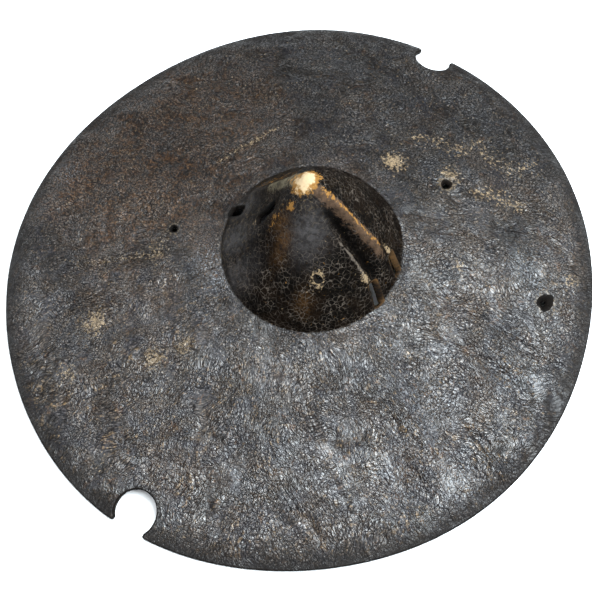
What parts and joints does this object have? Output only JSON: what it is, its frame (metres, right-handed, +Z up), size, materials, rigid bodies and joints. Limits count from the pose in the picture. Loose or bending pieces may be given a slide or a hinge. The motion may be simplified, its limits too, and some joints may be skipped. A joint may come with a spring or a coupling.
{
  "type": "buckler shield",
  "caption": "Round shield moulded from thick dark hide, a dished flange round a tall hollow boss with strap slots, notched at the rim.",
  "frame": {"origin": "middle of the rim's extents, on the surface that the shield lies on", "axes": "+Z up out of the boss's tip, +X along the strap slots, towards the pair beside the fold, +Y towards the shallow rim notch"},
  "size_m": [0.5131, 0.5284, 0.165],
  "materials": {
    "dark_hide": "oiled and worn, semi-matt"
  },
  "bodies": {
    "root": {"shield_hide": "dark_hide"}
  },
  "joints": []
}
